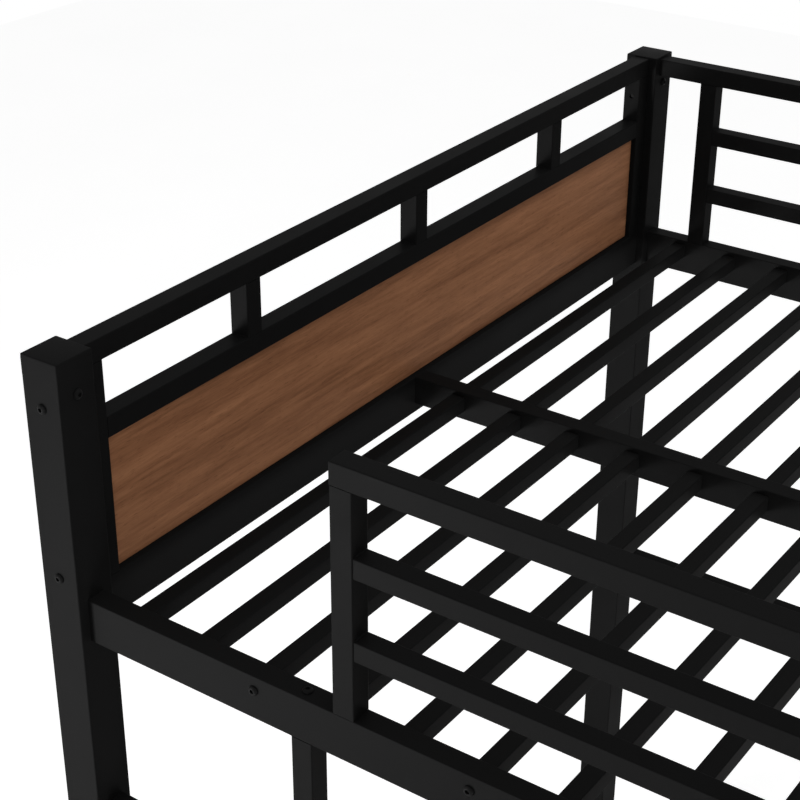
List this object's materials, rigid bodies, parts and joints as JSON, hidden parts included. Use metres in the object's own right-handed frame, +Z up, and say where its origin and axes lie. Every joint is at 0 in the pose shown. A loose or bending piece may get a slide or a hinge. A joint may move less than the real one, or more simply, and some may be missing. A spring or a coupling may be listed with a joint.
{
  "type": "loft bed with desk",
  "caption": "Raised bed frame of square black steel tube with slatted deck, guard rails, side ladder, wooden end panels and a desk board across the foot end.",
  "frame": {"origin": "on the floor, at the middle of the bed's length and width", "axes": "+X from the head end to the foot end, +Y from the ladder side to the wall side, +Z up"},
  "size_m": [2.0752, 1.4774, 1.83],
  "materials": {
    "black_steel": "satin black powder coat",
    "black_fastener": "black coated steel fasteners",
    "black_plastic": "black moulded caps and glides",
    "walnut_board": "walnut brown wood grain laminate"
  },
  "bodies": {
    "root": {"beam_bolts": "black_fastener", "beam_plugs": "black_fastener", "centre_beam": "black_steel", "desk_bolts": "black_fastener", "desk_cross_rails": "black_steel", "desk_glides": "black_plastic", "desk_legs": "black_steel", "desk_plugs": "black_fastener", "desk_screws": "black_fastener", "desk_side_rails": "black_steel", "desk_top": "walnut_board", "end_lower_rails": "black_steel", "end_mid_rails": "black_steel", "end_spacers": "black_steel", "end_stiles": "black_steel", "end_top_rails": "black_steel", "footboard_panel": "walnut_board", "frame_bolts": "black_fastener", "frame_nuts": "black_fastener", "front_guard_bars": "black_steel", "front_guard_bolts": "black_fastener", "front_guard_plugs": "black_fastener", "front_guard_stiles": "black_steel", "front_guard_top_rail": "black_steel", "headboard_panel": "walnut_board", "ladder_glide": "black_plastic", "ladder_rungs": "black_steel", "ladder_stringer": "black_steel", "low_stretchers": "black_steel", "post_caps": "black_plastic", "post_front_foot": "black_steel", "post_front_head": "black_steel", "post_glides": "black_plastic", "post_rear_foot": "black_steel", "post_rear_head": "black_steel", "rail_bolts": "black_fastener", "rail_plugs": "black_fastener", "rear_guard_bars": "black_steel", "rear_guard_bolts": "black_fastener", "rear_guard_plugs": "black_fastener", "rear_guard_stiles": "black_steel", "rear_guard_top_rail": "black_steel", "rung_bolts": "black_fastener", "rung_plugs": "black_fastener", "side_rail_front": "black_steel", "side_rail_rear": "black_steel", "slat_bolts": "black_fastener", "slat_plugs": "black_fastener", "slats_front": "black_steel", "slats_rear": "black_steel", "stretcher_bolts": "black_fastener", "stretcher_plugs": "black_fastener", "stringer_bolt": "black_fastener", "stringer_plug": "black_fastener", "tie_bolts": "black_fastener", "wall_rail": "black_steel", "wall_rail_bolts": "black_fastener", "wall_rail_plugs": "black_fastener"}
  },
  "joints": []
}
